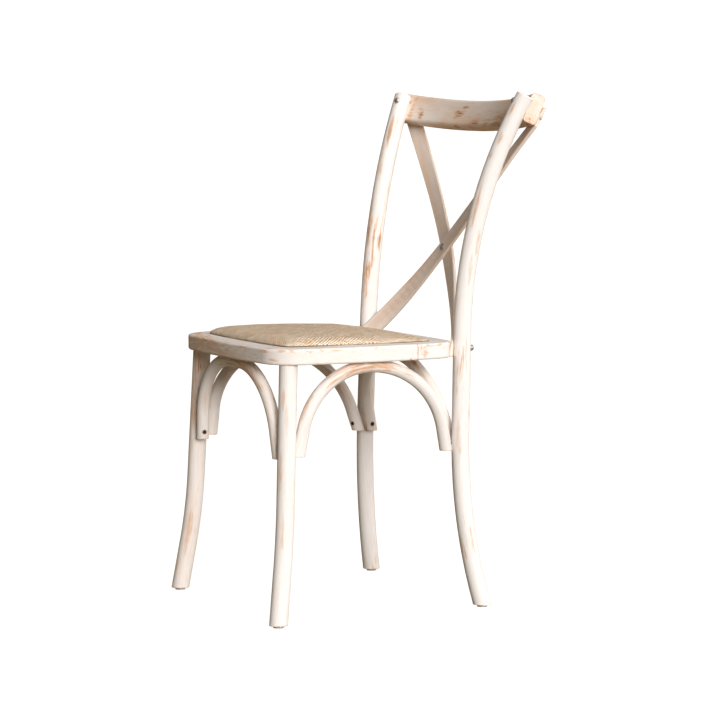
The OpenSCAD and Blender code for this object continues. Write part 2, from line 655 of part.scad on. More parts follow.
module crest_rail() {
    color(wood) place() difference() {
        rail_body();
        for (m = [0, 1]) mirror([m, 0, 0]) crest_bolt_hole();
        head_screw_pins(-cross_off, -slat_t/2 - head_screw_len - 1, 0, small_screw_d + 2*fit);
        mirror([1, 0, 0])
            head_screw_pins(cross_off, -slat_t/2 - head_screw_len - 1, 0, small_screw_d + 2*fit);
    }
}

module slat(off) {
    rings = [for (k = [0:slat_steps]) slat_ring(mix(slat_from, slat_to, k/slat_steps), off)];
    difference() {
        intersection() {
            polyhedron(points = [for (r = rings, p = r) p],
                       faces = skin_faces(slat_steps + 1, len(slat_section)), convexity = 4);
            translate([-big, 0, seat_h]) cube([big + rail_half, big, slat_top - seat_h]);
        }
        mirror([1, 0, 0]) seat_joint() seat_bolt_hole();
        crossing_pin(-10, 10, small_screw_d + 2*fit);
        head_screw_pins(off, -slat_t, slat_t, small_screw_d + 2*fit);
        head_screw_pins(off, slat_t/2 - slat_head_sink, slat_t, small_head_d + 2*fit);
    }
}
cross_at = [0, cross_y, cross_z];
module crossing_pin(from, to, d) {
    pin(cross_at + from*cross_n, cross_at + to*cross_n, d);
}

// Section of the ring, with its outer edge at r, drawn in by s all round
module ring_section(r, s) {
    translate([r, 0]) difference() {
        union() {
            translate([s - ring_w, s]) square([ring_w - ring_edge - s, ring_t - 2*s]);
            translate([-ring_edge, ring_edge]) square([ring_edge - s, ring_t - 2*ring_edge]);
            for (y = [ring_edge, ring_t - ring_edge]) translate([-ring_edge, y])
                circle(ring_edge - s, $fn = round_fn);
        }
        translate([-ring_w - 1, ring_t - rebate_d - s]) square([rebate_w + 1 + s, rebate_d + 1]);
    }
}
module ring_arc(c, r, a, b, s) {
    translate([c.x, c.y, seat_h]) rotate(a) rotate_extrude(angle = b - a, $fn = fine)
        ring_section(r, s);
}
// The angle by which an arc of radius r laps over its neighbour
function lap_a(r) = lap/r*180/PI;
dowel_in = rebate_in/2;
module hoop_dowel(d, len) {
    p = side_c + polar(ring_side_r - dowel_in, a_joint);
    multmatrix(frame([p.x, p.y, seat_h + ring_t/2], [-sin(a_joint), cos(a_joint), 0], [0, 0, 1]))
        translate([0, 0, -len/2]) cylinder(h = len, d = d);
}
board_screw_in = ring_w - rebate_w/2;
board_screw_x = 90;
function on_front(x, i) = [x, front_c.y - sqrt(pow(ring_front_r - i, 2) - x*x)];
function on_rear(x, i) = [x, rear_c.y + sqrt(pow(ring_rear_r - i, 2) - x*x)];
module board_screw_hole(p, top) {
    translate([p.x, p.y, seat_h - 1]) cylinder(h = top - seat_h + 1, d = small_screw_d + 2*fit);
    translate([p.x, p.y, seat_h - 1]) cylinder(h = board_head_up + 1, d = small_head_d + 2*fit);
}
board_head_up = 6;
board_screw_top = rebate_floor + board_t - 2;

module seat_front_hoop() {
    color(wood) place() difference() {
        union() {
            ring_arc(front_c, ring_front_r, -180 - a_front - lap_a(ring_front_r),
                     a_front + lap_a(ring_front_r), 0);
            for (m = [0, 1]) mirror([m, 0, 0]) {
                ring_arc(front_corner_c, ring_front_corner, a_front, a_side, slim);
                ring_arc(side_c, ring_side_r, a_side - lap_a(ring_side_r), a_joint, 0);
            }
        }
        for (m = [0, 1]) mirror([m, 0, 0]) {
            multmatrix(frame(front_top, -front_down, front_dir)) translate([0, 0, -10])
                cylinder(h = tenon_len + 11, d = tenon_d + 2*fit);
            hoop_dowel(ring_dowel_d + 2*fit, ring_dowel_len + 2);
            crown_pilots(side_marks);
            board_screw_hole(on_front(board_screw_x, board_screw_in), ring_top + 1);
        }
        crown_pilots(front_marks);
    }
}
module crown_pilots(marks) {
    for (m = marks) translate([m.x, m.y, seat_h - 1])
        cylinder(h = crown_screw_up + 2, d = arch_screw_d + 2*fit);
}
module seat_rear_rail() {
    color(wood) place() difference() {
        union() {
            ring_arc(rear_c, ring_rear_r, a_rear - lap_a(ring_rear_r),
                     180 - a_rear + lap_a(ring_rear_r), 0);
            for (m = [0, 1]) mirror([m, 0, 0]) {
                ring_arc(rear_corner_c, ring_rear_corner, a_rear_side, a_rear, slim);
                ring_arc(side_c, ring_side_r, a_joint, a_rear_side + lap_a(ring_side_r), 0);
            }
        }
        for (m = [0, 1]) mirror([m, 0, 0]) {
            seat_joint() {
                translate([-big/4, -ring_flat, -big/4]) cube(big/2);
                seat_bolt_hole();
                translate([0, -barrel_in, -ring_t]) cylinder(h = ring_t + barrel_h/2 + 1, d = barrel_d + 2*fit);
            }
            hoop_dowel(ring_dowel_d + 2*fit, ring_dowel_len + 2);
            board_screw_hole(on_rear(board_screw_x, board_screw_in), ring_top + 1);
        }
        crown_pilots(rear_marks);
    }
}
barrel_h = 16;
module hoop_dowels() {
    color(wood) pair() hoop_dowel(ring_dowel_d, ring_dowel_len);
}

module seat_board() {
    color([0.8, 0.68, 0.5]) place() difference() {
        translate([0, 0, rebate_floor]) linear_extrude(board_t) polygon(outline(foam_in + 0.1));
        for (m = [0, 1]) mirror([m, 0, 0])
            for (p = [on_front(board_screw_x, board_screw_in), on_rear(board_screw_x, board_screw_in)])
                board_screw_hole(p, board_screw_top + 1);
    }
}
module seat_foam() {
    rings = [for (s = foam_rings) pad_ring(foam_in, s, ring_top - rattan_t + pad_z(s))];
    base = pad_ring(foam_in, 1, rebate_floor + board_t + foam_gap);
    k = len(base);
    color([0.93, 0.9, 0.82]) place() polyhedron(
        points = concat(pad_mid(rebate_floor + board_t + foam_gap), base, [for (r = rings, p = r) p],
                        pad_mid(ring_top - rattan_t + pad_z(0))),
        faces = dome_faces(len(rings) + 1, k), convexity = 3);
}
module rattan_seat_cover() {
    n = len(foam_rings);
    m = len(cover_rings);
    inner = [for (j = [n - 1:-1:0])
        pad_ring(foam_in, foam_rings[j], ring_top - rattan_t + pad_z(foam_rings[j]))];
    skirt = [pad_ring(foam_in, 1, rebate_floor), pad_ring(cover_in, 1, rebate_floor)];
    outer = [for (s = cover_rings) pad_ring(cover_in, s, ring_top + pad_z(s))];
    rings = concat(inner, skirt, outer);
    color([0.76, 0.6, 0.38]) place() polyhedron(
        points = concat(pad_mid(ring_top - rattan_t + pad_z(0)), [for (r = rings, p = r) p],
                        pad_mid(ring_top + pad_z(0))),
        faces = dome_faces(n + m + 2, len(skirt[0])), convexity = 4);
}

module side_arch() {
    difference() {
        arch(side_points, side_front_r, side_rear_r);
        side_screw_hole(leg_screws[0]);
        side_screw_hole(leg_screws[1]);
        screw_holes(side_marks, 3*arch_d);
    }
}
module cross_arch(p, s, marks) {
    color(wood) place() difference() {
        arch(p, arch_r, arch_r);
        for (m = [0, 1]) mirror([m, 0, 0]) side_screw_hole(s);
        screw_holes(marks, 3*arch_d);
    }
}
module front_arch() {
    cross_arch(front_points, leg_screws[2], front_marks);
}
module rear_arch() {
    cross_arch(rear_points, leg_screws[3], rear_marks);
}

module foot_glides() {
    color(steel) pair() for (p = [front_glide(), rear_glide()]) translate([p.x, p.y, 0]) {
        cylinder(h = glide_t, d = glide_d);
        cylinder(h = glide_t + glide_nail_len, d = glide_nail_d);
    }
}
module crest_bolts() {
    color(steel) pair() multmatrix(frame(bolt_at, -bolt_dir, [1, 0, 0])) rotate_extrude() {
        translate([0, head_at + head_rim]) dome_outline(bolt_head_d, bolt_dome, head_rim);
        translate([0, -bolt_to_back - 2]) square([bolt_d/2, bolt_to_back + 2 + head_at + 1]);
    }
}
module crest_nuts() {
    color(steel) pair() multmatrix(frame(bolt_at + bolt_dir*(bolt_to_back - nut_sink), bolt_dir, [1, 0, 0]))
        difference() {
            rotate_extrude() translate([0, 2*nut_sink])
                dome_outline(bolt_head_d, bolt_dome, 2*nut_sink);
            translate([0, 0, -1]) cylinder(h = nut_sink + 3 + fit + 1, d = bolt_d + 2*fit);
        }
}
module seat_bolts() {
    color(steel) pair() seat_joint() rotate([-90, 0, 0]) rotate_extrude() {
        translate([0, leg_r + 1]) dome_outline(bolt_head_d, bolt_dome, leg_r + 1 - seat_head_at);
        translate([0, -bolt_tip]) square([bolt_d/2, bolt_tip + seat_head_at + 1]);
    }
}
module seat_barrel_nuts() {
    color(steel) pair() seat_joint() difference() {
        translate([0, -barrel_in, -barrel_h/2]) cylinder(h = barrel_h, d = barrel_d);
        seat_bolt_hole();
    }
}
module arch_leg_screws() {
    color(steel) pair() for (s = leg_screws) {
        pin(s[0] - s[1]*(arch_rr - 1), s[0] - s[1]*(arch_rr - arch_head_t - 1), arch_head_d);
        pin(s[0] - s[1]*(arch_rr - 2), s[0] + s[1]*(arch_rr + arch_screw_in), arch_screw_d);
    }
}
module crown_screws(marks) {
    for (m = marks) {
        translate([m.x, m.y, crown_z - arch_rr + 1]) cylinder(h = arch_head_t, d = arch_head_d);
        translate([m.x, m.y, crown_z - arch_rr + 1])
            cylinder(h = seat_h + crown_screw_up - crown_z + arch_rr - 1, d = arch_screw_d);
    }
}
module arch_seat_screws() {
    color(steel) {
        pair() crown_screws(side_marks);
        place() crown_screws(concat(front_marks, rear_marks));
    }
}
module slat_top_screws() {
    color(steel) for (m = [0, 1]) place() mirror([m, 0, 0]) {
        off = m == 0 ? -cross_off : cross_off;
        head_screw_pins(off, -slat_t/2 - head_screw_len, slat_t/2, small_screw_d);
        head_screw_pins(off, slat_t/2 - slat_head_sink, slat_t/2, small_head_d);
    }
}
cross_face = cross_off*cos(cross_lean) + slat_t/2 + washer_gap;
module crossing_screw() {
    color(steel) place() {
        crossing_pin(-cross_face - washer_t - 1.5, -cross_face - washer_t, small_head_d);
        crossing_pin(-cross_face - washer_t - 1, cross_face - 1, small_screw_d);
    }
}
module crossing_washer() {
    color(steel) place() difference() {
        crossing_pin(-cross_face - washer_t, -cross_face, washer_d);
        crossing_pin(-cross_face - 2*washer_t, 0, small_screw_d + 2*fit);
    }
}
module seat_board_screws() {
    color(steel) pair()
        for (p = [on_front(board_screw_x, board_screw_in), on_rear(board_screw_x, board_screw_in)])
            translate([p.x, p.y, seat_h + board_head_up - 3]) {
                cylinder(h = 3, d = small_head_d);
                cylinder(h = board_screw_top - seat_h - board_head_up + 3, d = small_screw_d);
            }
}

color(wood) left() rear_leg();  // rear_leg_left
color(wood) right() rear_leg();  // rear_leg_right
color(wood) left() front_leg();  // front_leg_left
color(wood) right() front_leg();  // front_leg_right
crest_rail();
color(wood) left() slat(-cross_off);  // back_slat_front
color(wood) right() slat(cross_off);  // back_slat_rear
seat_front_hoop();
seat_rear_rail();
hoop_dowels();
seat_board();
seat_foam();
rattan_seat_cover();
front_arch();
rear_arch();
color(wood) left() side_arch();  // side_arch_left
color(wood) right() side_arch();  // side_arch_right
foot_glides();
crest_bolts();
crest_nuts();
seat_bolts();
seat_barrel_nuts();
arch_leg_screws();
arch_seat_screws();
slat_top_screws();
crossing_screw();
crossing_washer();
seat_board_screws();
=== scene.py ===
"""Looks of the cross-back dining chair: materials, the woven pad, light, floor and camera."""
import math

import bpy
import numpy as np
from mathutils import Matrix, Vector
from mathutils.bvhtree import BVHTree

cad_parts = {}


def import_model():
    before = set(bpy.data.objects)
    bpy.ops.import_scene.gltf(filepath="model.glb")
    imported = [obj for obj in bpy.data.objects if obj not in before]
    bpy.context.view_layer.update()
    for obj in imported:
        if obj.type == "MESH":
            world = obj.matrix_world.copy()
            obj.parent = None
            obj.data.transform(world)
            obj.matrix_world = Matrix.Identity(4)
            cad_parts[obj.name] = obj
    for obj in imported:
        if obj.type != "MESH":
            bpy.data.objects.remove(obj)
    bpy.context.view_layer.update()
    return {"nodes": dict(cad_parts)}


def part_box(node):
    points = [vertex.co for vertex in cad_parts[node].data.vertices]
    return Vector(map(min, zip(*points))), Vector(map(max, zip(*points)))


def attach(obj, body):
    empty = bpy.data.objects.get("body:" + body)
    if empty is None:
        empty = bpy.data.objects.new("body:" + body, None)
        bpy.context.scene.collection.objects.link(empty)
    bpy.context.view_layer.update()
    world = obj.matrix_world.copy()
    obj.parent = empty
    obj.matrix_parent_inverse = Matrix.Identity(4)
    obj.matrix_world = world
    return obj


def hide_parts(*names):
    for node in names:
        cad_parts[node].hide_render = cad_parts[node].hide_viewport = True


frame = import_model()
nodes = frame["nodes"]
X, Y, Z = 0, 1, 2
WHITE = (1, 1, 1)


# Node graphs


class Graph:
    """A material's node tree, with short calls for the nodes used here."""

    def __init__(self, name):
        self.material = bpy.data.materials.new(name)
        self.material.use_nodes = True
        self.tree = self.material.node_tree
        self.tree.nodes.clear()
        self.output = self.node("ShaderNodeOutputMaterial")
        self.shader = self.node("ShaderNodeBsdfPrincipled")
        self.put(self.output.inputs["Surface"], self.shader.outputs[0])

    def node(self, kind):
        return self.tree.nodes.new(kind)

    def put(self, socket, value):
        """Link a socket to another one, or give it a number or a colour."""
        if isinstance(value, bpy.types.NodeSocket):
            self.tree.links.new(value, socket)
        elif hasattr(value, "__len__") and len(value) == 3 and socket.type == "RGBA":
            socket.default_value = (*value, 1)
        else:
            socket.default_value = value

    def math(self, operation, *values, clamp=False):
        node = self.node("ShaderNodeMath")
        node.operation = operation
        node.use_clamp = clamp
        for socket, value in zip(node.inputs, values):
            self.put(socket, value)
        return node.outputs[0]

    def times(self, a, b, plus=None):
        """a * b, or a * b + plus."""
        if plus is None:
            return self.math("MULTIPLY", a, b)
        return self.math("MULTIPLY_ADD", a, b, plus)

    def most(self, a, b):
        return self.math("MAXIMUM", a, b)

    def parts(self, vector):
        """The three numbers of a vector."""
        node = self.node("ShaderNodeSeparateXYZ")
        self.put(node.inputs[0], vector)
        return node.outputs

    def vector(self, x, y, z):
        node = self.node("ShaderNodeCombineXYZ")
        for socket, value in zip(node.inputs, (x, y, z)):
            self.put(socket, value)
        return node.outputs[0]

    def place(self):
        """Where a point is, in the chair's own frame, as three sockets."""
        return self.parts(self.node("ShaderNodeTexCoord").outputs["Object"])

    def spread(self, scales):
        """The place in the chair's frame, with each coordinate times its own scale."""
        return self.vector(*[self.times(c, k) for c, k in zip(self.place(), scales)])

    def noise(self, vector, detail=4.0, roughness=0.55, distortion=0.0):
        """Noise from 0 to 1, with about one cell for each unit of the vector."""
        node = self.node("ShaderNodeTexNoise")
        self.put(node.inputs["Vector"], vector)
        self.put(node.inputs["Scale"], 1.0)
        self.put(node.inputs["Detail"], detail)
        self.put(node.inputs["Roughness"], roughness)
        self.put(node.inputs["Distortion"], distortion)
        return node.outputs[0]

    def random(self, x, y, seed):
        """One value from 0 to 1 for each pair of whole numbers."""
        node = self.node("ShaderNodeTexWhiteNoise")
        self.put(node.inputs["Vector"], self.vector(x, y, seed))
        return node.outputs["Value"]

    def step(self, value, low, high, to_low=0.0, to_high=1.0):
        """Goes smoothly from to_low to to_high while the value goes from low to high."""
        node = self.node("ShaderNodeMapRange")
        node.interpolation_type = "SMOOTHSTEP"
        for socket, v in zip(node.inputs, (value, low, high, to_low, to_high)):
            self.put(socket, v)
        return node.outputs[0]

    def mix(self, share, a, b, blend="MIX"):
        """Colour a, with as large a share of colour b."""
        node = self.node("ShaderNodeMix")
        node.data_type = "RGBA"
        node.blend_type = blend
        for k, value in ((0, share), (6, a), (7, b)):
            self.put(node.inputs[k], value)
        return node.outputs[2]

    def edges(self, radius):
        """1 along sharp edges, falling to 0 at about the radius from them.

        It compares the true normal with the one that the edge would have if it were round.
        """
        rounded = self.node("ShaderNodeBevel")
        rounded.samples = 6
        self.put(rounded.inputs["Radius"], radius)
        cosine = self.node("ShaderNodeVectorMath")
        cosine.operation = "DOT_PRODUCT"
        self.put(cosine.inputs[0], rounded.outputs[0])
        self.put(cosine.inputs[1], self.node("ShaderNodeNewGeometry").outputs["Normal"])
        return self.step(cosine.outputs["Value"], 0.965, 0.85)

    def bump(self, height, strength, distance):
        node = self.node("ShaderNodeBump")
        for name, value in (("Height", height), ("Strength", strength), ("Distance", distance)):
            self.put(node.inputs[name], value)
        self.put(self.shader.inputs["Normal"], node.outputs[0])

    def finish(self, colour, roughness, **uniform):
        """Set the shader; uniform holds values that are the same all over."""
        self.put(self.shader.inputs["Base Color"], colour)
        self.put(self.shader.inputs["Roughness"], roughness)
        for name, value in uniform.items():
            self.put(self.shader.inputs[name.replace("_", " ")], value)
        return self.material


def dress(name, material):
    """Give a node of the frame its material."""
    data = nodes[name].data
    data.materials.clear()
    data.materials.append(material)


# The line that each member follows

FIT = 6        # degree of the curves that straighten a bent member for its grain
STATIONS = 60  # places along a member at which its middle is taken


class Member:
    """Straightens a bent member: gives the way along it and the place across it.

    axes are the axis along the member and the two across it. turn is None for a member
    that runs along one axis, and otherwise the centre that it turns round, in the plane of
    the first two axes, with 1 or -1 for the side of the centre on which the member lies.
    """

    def __init__(self, name, axes, turn):
        self.p, self.q, self.w = axes
        self.turn = turn
        mesh = nodes[name].data
        co = np.zeros(len(mesh.vertices) * 3)
        mesh.vertices.foreach_get("co", co)
        edge = np.zeros(len(mesh.edges) * 2, np.int32)
        mesh.edges.foreach_get("vertices", edge)
        t, u, v = self.raw(co.reshape(-1, 3))
        a, b = edge.reshape(-1, 2).T
        stations, middles = [], []
        for s in np.linspace(t.min(), t.max(), STATIONS + 2)[1:-1]:
            hit = (t[a] - s) * (t[b] - s) < 0
            if hit.sum() < 4:  # too few edges cross here to show where the middle is
                continue
            f = (s - t[a][hit]) / (t[b][hit] - t[a][hit])
            across = [c[a][hit] + f * (c[b][hit] - c[a][hit]) for c in (u, v)]
            stations.append(s)
            middles.append([(c.min() + c.max()) / 2 for c in across])
        middles = np.array(middles)
        self.fits = [np.polyfit(stations, middles[:, k], FIT) for k in (0, 1)]
        self.scale = float(np.mean(middles[:, 0])) if turn else 1.0

    def raw(self, co):
        """Way along and places across, before the member is straightened."""
        if self.turn is None:
            return co[:, self.p], co[:, self.q], co[:, self.w]
        centre_p, centre_q, side = self.turn
        dp = co[:, self.p] - centre_p
        dq = side * (co[:, self.q] - centre_q)
        return np.arctan2(dp, dq), np.hypot(dp, dq), co[:, self.w]

    def at(self, point):
        """Where a point of the chair lies along and across the member."""
        t, u, v = (c[0] for c in self.raw(np.array([point], float)))
        return t * self.scale, u - np.polyval(self.fits[0], t), v - np.polyval(self.fits[1], t)

    def sockets(self, g):
        """The same for the shaded point, as sockets of the graph g."""
        place = g.place()
        if self.turn is None:
            t, u, v = place[self.p], place[self.q], place[self.w]
        else:
            centre_p, centre_q, side = self.turn
            dp = g.math("SUBTRACT", place[self.p], centre_p)
            dq = g.times(g.math("SUBTRACT", place[self.q], centre_q), side)
            t = g.math("ARCTAN2", dp, dq)
            u = g.math("SQRT", g.times(dp, dp, plus=g.times(dq, dq)))
            v = place[self.w]
        across = []
        for c, fit in zip((u, v), self.fits):
            line = float(fit[0])
            for k in fit[1:]:
                line = g.times(line, t, plus=float(k))
            across.append(g.math("SUBTRACT", c, line))
        return g.times(t, self.scale), *across


# Whitewash

WASH = (0.89, 0.855, 0.83)
WASH_THIN_AND_SHADE = (0.82, 0.57, 0.40)
TAN = (0.70, 0.37, 0.17)
BROWN = (0.30, 0.125, 0.045)
GRAIN_TINT = (0.55, 0.38, 0.26)
EDGE_WEAR = 0.0040    # how far wear reaches in from a sharp edge, metres
GRAIN_DEPTH = 0.0005  # depth of the grain and of worn wash, metres


def whitewash(name, member, seed, worn, thin_and_shade, marks):
    """Worn whitewash over orange-brown wood, with its grain along the member, and painted shade.

    worn is how much wood shows, thin how much of it tints the wash (partly painted shade where
    it is high), and marks are the worn places and the places of painted shade or shadow.
    """
    g = Graph("whitewash_" + name)
    t, u, v = member.sockets(g)

    def stretched(along, across, shift, **how):
        """Noise with so many cells to a metre along the grain and across it."""
        long = g.times(t, along, plus=seed * 3.1 + shift)
        wide = g.times(u, across, plus=seed * 1.7)
        deep = g.times(v, across, plus=shift)
        return g.noise(g.vector(long, wide, deep), **how)

    broad = stretched(7, 26, 0.0, detail=3.0)
    streak = stretched(16, 150, 5.0, detail=5.0, roughness=0.6, distortion=0.4)
    fleck = stretched(45, 330, 9.0, detail=4.0, roughness=0.65)
    grain = stretched(22, 900, 13.0, detail=3.0, roughness=0.6)
    pores = stretched(90, 1500, 17.0, detail=2.0)

    # Wear: streaks where the broad noise is high, flecks within them, and sharp edges
    gather = g.times(broad, 0.55, plus=g.times(streak, 0.45))
    rubbed = g.step(gather, 0.64 - 0.14 * worn, 0.71 - 0.12 * worn)
    flecks = g.times(g.step(fleck, 0.60, 0.72), g.step(broad, 0.45, 0.62))
    wear_and_shade = g.most(g.times(rubbed, 0.85), g.times(flecks, 0.55 * worn))
    patches = g.step(g.math("ADD", broad, streak), 0.80, 1.10, 0.30, 1.0)
    wear_and_shade = g.most(wear_and_shade, g.times(g.edges(EDGE_WEAR), patches))
    # The marks add worn places, and on some members painted shade and painted shadow.
    for point, long, wide, depth in marks:
        far = 0.0
        for c, middle, size in zip((t, u, v), member.at(point), (long, wide, wide)):
            d = g.times(c, 1 / size, plus=-middle / size)
            far = g.times(d, d, plus=far)
        ragged = g.times(streak, 4.0, plus=g.times(fleck, 4.0, plus=far))
        wear_and_shade = g.most(wear_and_shade, g.step(ragged, 5.2, 3.6, 0.0, depth))
    deep_wear_and_shade = g.step(g.times(wear_and_shade, g.step(fleck, 0.3, 0.55, 0.55, 1.0)), 0.62, 0.95)

    # The tanned wash is partly painted shade where the tint is high: a darker wash on members
    # whose fronts lie in shade.
    wash = g.mix(g.step(broad, 0.35, 0.65, 0.35 * thin_and_shade, thin_and_shade), WASH, WASH_THIN_AND_SHADE)
    wash = g.mix(g.step(streak, 0.52, 0.75, 0.0, 0.5 * thin_and_shade + 0.1), wash, WASH_THIN_AND_SHADE)
    colour = g.mix(wear_and_shade, wash, g.mix(deep_wear_and_shade, TAN, BROWN))
    lines = g.times(g.step(grain, 0.52, 0.68), 0.6, plus=g.times(g.step(pores, 0.6, 0.72), 0.3))
    colour = g.mix(g.times(lines, 0.30), colour, GRAIN_TINT, "MULTIPLY")
    sunk = g.times(lines, 0.5, plus=g.times(wear_and_shade, 0.5))
    g.bump(g.math("SUBTRACT", g.times(broad, 0.4), sunk), 0.4, GRAIN_DEPTH)
    rough = g.times(streak, 0.16, plus=g.times(wear_and_shade, -0.12, plus=0.46))
    return g.finish(colour, rough, Specular_IOR_Level=0.35)


UPRIGHT = (Z, X, Y)
LEVEL = (X, Y, Z)
OVER_X = (X, Z, Y)
OVER_Y = (Y, Z, X)
FRONT_RING = (0, -0.03, -1)
REAR_RING = (0, -0.03, 1)
ARCH = (0, 0.29, 1)
SIDE_ARCH = (-0.06, 0.29, 1)
# Each member's axes and turn, how much wood shows, and how much of it tints the wash
members = {
    "rear_leg_left": (UPRIGHT, None, 0.40, 0.05),
    "rear_leg_right": (UPRIGHT, None, 0.60, 0.12),
    "front_leg_left": (UPRIGHT, None, 0.40, 0.10),
    "front_leg_right": (UPRIGHT, None, 0.50, 0.25),
    # The crest rail's and slats' high tint is partly painted shade, darkening members whose fronts
    # lie in shade.
    "crest_rail": (LEVEL, None, 0.55, 0.85),
    "back_slat_front": (UPRIGHT, None, 0.20, 0.70),
    "back_slat_rear": (UPRIGHT, None, 0.20, 0.70),
    "seat_front_hoop": (LEVEL, FRONT_RING, 0.40, 0.16),
    "seat_rear_rail": (LEVEL, REAR_RING, 0.40, 0.12),
    "front_arch": (OVER_X, ARCH, 0.45, 0.22),
    "rear_arch": (OVER_X, ARCH, 0.50, 0.25),
    "side_arch_left": (OVER_Y, SIDE_ARCH, 0.50, 0.12),
    "side_arch_right": (OVER_Y, SIDE_ARCH, 0.50, 0.30),
}
# Worn places, and places of painted shade or shadow: a point on the member and half the
# place's length along the grain and width across it, in metres, and how deep it is, up to 1
worn_and_shaded_places = {
    "crest_rail": (
        ((-0.170, 0.221, 0.853), 0.010, 0.008, 1.0), ((-0.163, 0.221, 0.846), 0.008, 0.011, 1.0),
        ((-0.180, 0.220, 0.827), 0.008, 0.003, 0.95), ((-0.041, 0.243, 0.856), 0.013, 0.004, 1.0),
        ((-0.055, 0.237, 0.846), 0.018, 0.009, 1.0), ((-0.054, 0.231, 0.821), 0.014, 0.006, 1.0),
        ((0.008, 0.232, 0.830), 0.020, 0.008, 1.0), ((0.045, 0.230, 0.829), 0.015, 0.007, 1.0),
        ((-0.048, 0.236, 0.850), 0.020, 0.004, 1.0), ((0.060, 0.230, 0.836), 0.020, 0.005, 1.0),
        # Painted shadow and shade: the first mark below is the dark line where the rail meets the
        # far post, the second a dark band of painted shade along the rail's top edge.
        ((-0.190, 0.214, 0.845), 0.007, 0.040, 0.75), ((-0.130, 0.232, 0.866), 0.060, 0.003, 0.7),
        # Painted shadow: the first mark below darkens the rail's near end beside the near post.
        ((0.130, 0.221, 0.832), 0.080, 0.034, 0.8), ((0.020, 0.231, 0.846), 0.030, 0.005, 0.9),
        ((-0.100, 0.231, 0.826), 0.022, 0.003, 0.9), ((0.214, 0.215, 0.864), 0.008, 0.006, 0.8),
    ),
    "rear_leg_right": (
        ((-0.188, 0.168, 0.812), 0.028, 0.006, 0.85), ((-0.184, 0.183, 0.835), 0.045, 0.005, 0.6),
        ((-0.158, 0.109, 0.566), 0.014, 0.004, 0.8), ((-0.163, 0.104, 0.544), 0.050, 0.006, 0.9),
        ((-0.172, 0.121, 0.662), 0.045, 0.005, 0.8), ((-0.182, 0.145, 0.752), 0.040, 0.005, 0.7),
    ),
    "rear_leg_left": (
        ((0.212, 0.184, 0.855), 0.014, 0.004, 0.75), ((0.204, 0.165, 0.806), 0.013, 0.005, 0.65),
        ((0.194, 0.152, 0.775), 0.009, 0.005, 0.7), ((0.185, 0.127, 0.684), 0.038, 0.005, 0.75),
        ((0.188, 0.132, 0.629), 0.025, 0.004, 0.6), ((0.185, 0.118, 0.581), 0.030, 0.004, 0.5),
        ((0.183, 0.097, 0.290), 0.040, 0.005, 0.5),
    ),
    "seat_front_hoop": (
        ((0.157, -0.249, 0.460), 0.007, 0.003, 0.95), ((0.180, -0.239, 0.458), 0.009, 0.003, 0.8),
        ((0.166, -0.250, 0.443), 0.009, 0.004, 0.9), ((0.203, -0.155, 0.457), 0.016, 0.002, 0.8),
        ((0.209, -0.079, 0.458), 0.030, 0.002, 0.75), ((0.069, -0.262, 0.457), 0.040, 0.003, 0.8),
        ((-0.060, -0.263, 0.458), 0.050, 0.003, 0.9), ((0.209, -0.012, 0.436), 0.014, 0.003, 0.8),
        # The second mark below is painted shade, darkening the hoop's front towards its far end.
        ((0.196, 0.000, 0.452), 0.006, 0.014, 0.7), ((-0.090, -0.263, 0.444), 0.170, 0.030, 0.65),
    ),
    "seat_rear_rail": (
        ((0.197, 0.004, 0.452), 0.006, 0.014, 0.7), ((0.209, 0.016, 0.448), 0.005, 0.010, 0.6),
        ((0.208, 0.040, 0.458), 0.020, 0.003, 0.7),
    ),
    "front_leg_left": (
        ((0.186, -0.233, 0.344), 0.030, 0.004, 0.35), ((0.180, -0.237, 0.377), 0.020, 0.004, 0.5),
        ((0.182, -0.244, 0.261), 0.040, 0.005, 0.5), ((0.192, -0.247, 0.145), 0.035, 0.005, 0.4),
    ),
    "front_leg_right": (
        ((-0.168, -0.241, 0.342), 0.080, 0.007, 0.7), ((-0.172, -0.250, 0.109), 0.040, 0.006, 0.6),
    ),
    "side_arch_left": (
        # The first two marks below are worn orange patches and painted shade, darkening the arch's
        # crown under the seat ring.
        ((0.190, -0.078, 0.427), 0.090, 0.013, 0.9), ((0.190, -0.119, 0.424), 0.040, 0.012, 0.7),
        ((0.180, -0.197, 0.358), 0.035, 0.006, 0.6),
    ),
    "front_arch": (
        # The first mark below is a worn orange patch and painted shade, darkening the arch's crown
        # under the seat ring.
        ((0.040, -0.246, 0.424), 0.080, 0.014, 0.8), ((0.128, -0.226, 0.375), 0.060, 0.005, 0.7),
        ((-0.125, -0.237, 0.346), 0.030, 0.006, 0.3),
    ),
}
FIRST_SEED = 1.3
for k, (name, (axes, turn, worn, thin_and_shade)) in enumerate(members.items()):
    wood = whitewash(name, Member(name, axes, turn), k + FIRST_SEED, worn, thin_and_shade,
                     worn_and_shaded_places.get(name, ()))
    dress(name, wood)


# Bare wood, steel and glides


def raw_wood(name, along, light, dark):
    """Bare wood whose grain runs along one axis."""
    g = Graph(name)
    scales = [14 if axis == along else 320 for axis in (X, Y, Z)]
    grain = g.noise(g.spread(scales), detail=5.0, roughness=0.6, distortion=0.6)
    colour = g.mix(g.step(grain, 0.35, 0.7), light, dark)
    g.bump(grain, 0.3, 0.0004)
    return g.finish(colour, g.times(grain, 0.2, plus=0.6), Specular_IOR_Level=0.3)


def steel(name, colour, brushed):
    """Steel with its fine marks, brushed of them to a metre, and duller spots."""
    g = Graph(name)
    fine = g.noise(g.spread([brushed] * 3), detail=3.0)
    spots = g.noise(g.spread([260] * 3), detail=2.0)
    tone = g.mix(g.step(spots, 0.4, 0.75), colour, [c * 0.72 for c in colour])
    g.bump(fine, 0.25, 0.0001)
    return g.finish(tone, g.times(fine, 0.25, plus=0.36), Metallic=0.9)


SCUFF_HIGH = 0.0022  # how far up the glides' scuffed rim reaches, metres


